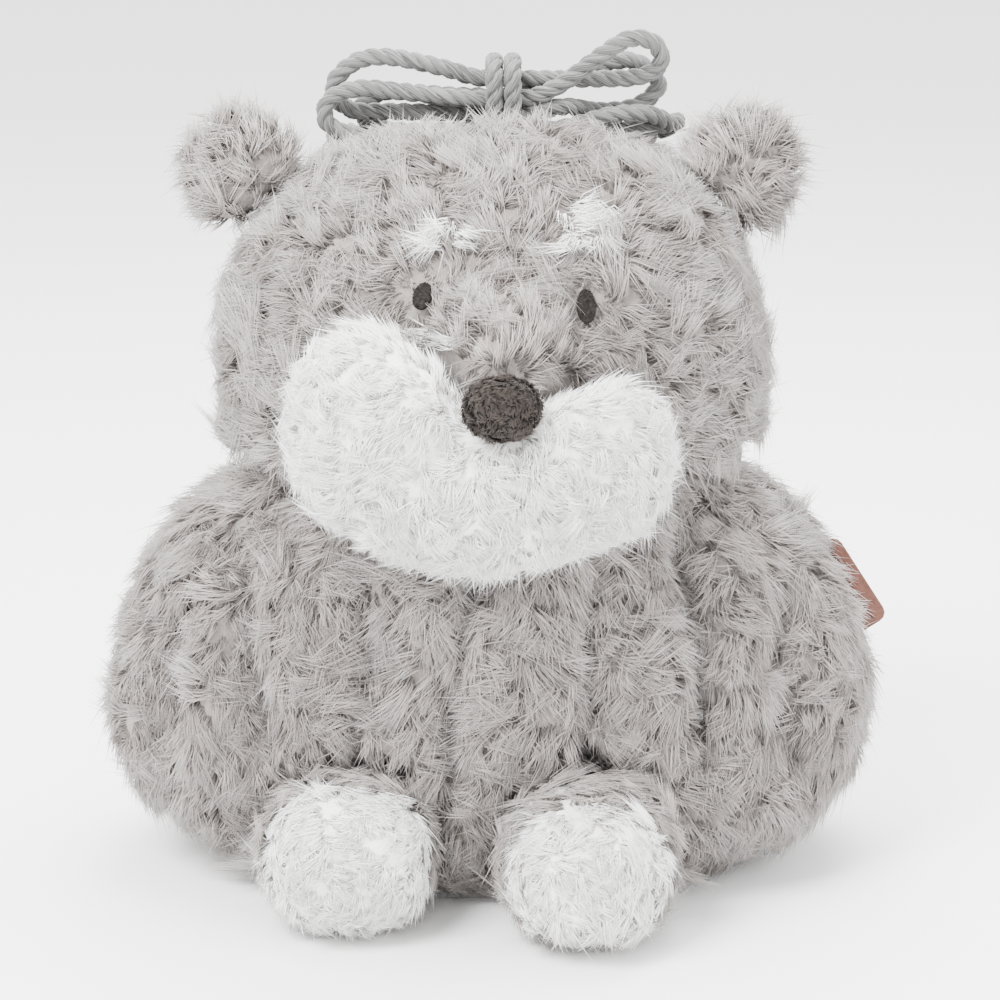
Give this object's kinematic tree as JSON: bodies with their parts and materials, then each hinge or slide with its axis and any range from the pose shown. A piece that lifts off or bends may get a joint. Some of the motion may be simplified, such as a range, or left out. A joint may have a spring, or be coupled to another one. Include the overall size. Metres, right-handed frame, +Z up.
{
  "type": "plush dog",
  "caption": "Sitting plush dog with a wide head, white muzzle, brows and paws, small round ears and a drawn-up crown tied with a cotton cord.",
  "frame": {"origin": "centre of the flat base panel, on the surface the toy sits on", "axes": "+Z up, -Y the way the toy faces, +X towards the toy's left side, on the viewer's right"},
  "size_m": [0.2331, 0.196, 0.2489],
  "materials": {
    "grey_pile": "long brushed pile",
    "white_pile": "dense brushed pile",
    "nose_pile": "short looped pile",
    "eye_thread": "satin-stitched thread",
    "stuffing": "polyester fibre",
    "base_cloth": "short smooth pile",
    "crown_cloth": "gathered woven cloth",
    "cotton_cord": "three-ply twisted cotton",
    "tag_leather": "smooth matt"
  },
  "bodies": {
    "torso": {"body_front_panel": "grey_pile", "body_back_panel": "grey_pile", "base_panel": "base_cloth", "body_filling": "stuffing"},
    "neck": {"neck_filling": "stuffing"},
    "head": {"head_front_panel": "grey_pile", "head_back_panel": "grey_pile", "head_filling": "stuffing", "muzzle_cover": "white_pile", "muzzle_filling": "stuffing", "muzzle_bridge": "grey_pile", "nose": "nose_pile", "left_eye": "eye_thread", "right_eye": "eye_thread", "left_brow": "white_pile", "right_brow": "white_pile", "drawstring_casing": "crown_cloth", "crown_lining": "crown_cloth", "cord_first_strand": "cotton_cord", "cord_second_strand": "cotton_cord", "bow_wrap": "cotton_cord"},
    "left_ear": {"left_ear_front": "grey_pile", "left_ear_back": "grey_pile", "left_ear_filling": "stuffing"},
    "right_ear": {"right_ear_front": "grey_pile", "right_ear_back": "grey_pile", "right_ear_filling": "stuffing"},
    "left_leg": {"left_leg_cuff": "grey_pile", "left_paw_cover": "white_pile", "left_leg_filling": "stuffing"},
    "right_leg": {"right_leg_cuff": "grey_pile", "right_paw_cover": "white_pile", "right_leg_filling": "stuffing"},
    "tail": {"tail_cover": "grey_pile", "tail_filling": "stuffing"},
    "tag": {"side_tag": "tag_leather"}
  },
  "joints": [
    {"name": "head_turn", "type": "hinge", "parent": "torso", "child": "neck", "pos_m": [0, 0, 0.085], "axis": [0, 0, 1], "range_deg": [-12, 12], "stiffness_Nm_per_rad": 2},
    {"name": "head_nod", "type": "hinge", "parent": "neck", "child": "head", "pos_m": [0, 0, 0.085], "axis": [1, 0, 0], "range_deg": [-5, 6], "stiffness_Nm_per_rad": 6},
    {"name": "left_ear_fold", "type": "hinge", "parent": "head", "child": "left_ear", "pos_m": [-0.07075, 0.003, 0.20555], "axis": [0.7071, 0, 0.7071], "range_deg": [-20, 35], "stiffness_Nm_per_rad": 0.05},
    {"name": "right_ear_fold", "type": "hinge", "parent": "head", "child": "right_ear", "pos_m": [0.07075, 0.003, 0.20555], "axis": [0.7071, 0, -0.7071], "range_deg": [-20, 35], "stiffness_Nm_per_rad": 0.05},
    {"name": "left_leg_lift", "type": "hinge", "parent": "torso", "child": "left_leg", "pos_m": [-0.041, -0.064, 0.0225], "axis": [-1, 0, 0], "range_deg": [0, 20], "stiffness_Nm_per_rad": 0.5},
    {"name": "right_leg_lift", "type": "hinge", "parent": "torso", "child": "right_leg", "pos_m": [0.028, -0.064, 0.0225], "axis": [-1, 0, 0], "range_deg": [0, 20], "stiffness_Nm_per_rad": 0.5},
    {"name": "tail_wag", "type": "hinge", "parent": "torso", "child": "tail", "pos_m": [0, 0.066, 0.036], "axis": [0, 0, 1], "range_deg": [-20, 20], "stiffness_Nm_per_rad": 0.05},
    {"name": "tag_flip", "type": "hinge", "parent": "torso", "child": "tag", "pos_m": [0.1075, 0, 0.083], "axis": [-0.5446, 0, 0.8387], "range_deg": [-35, 35], "stiffness_Nm_per_rad": 0.01}
  ]
}
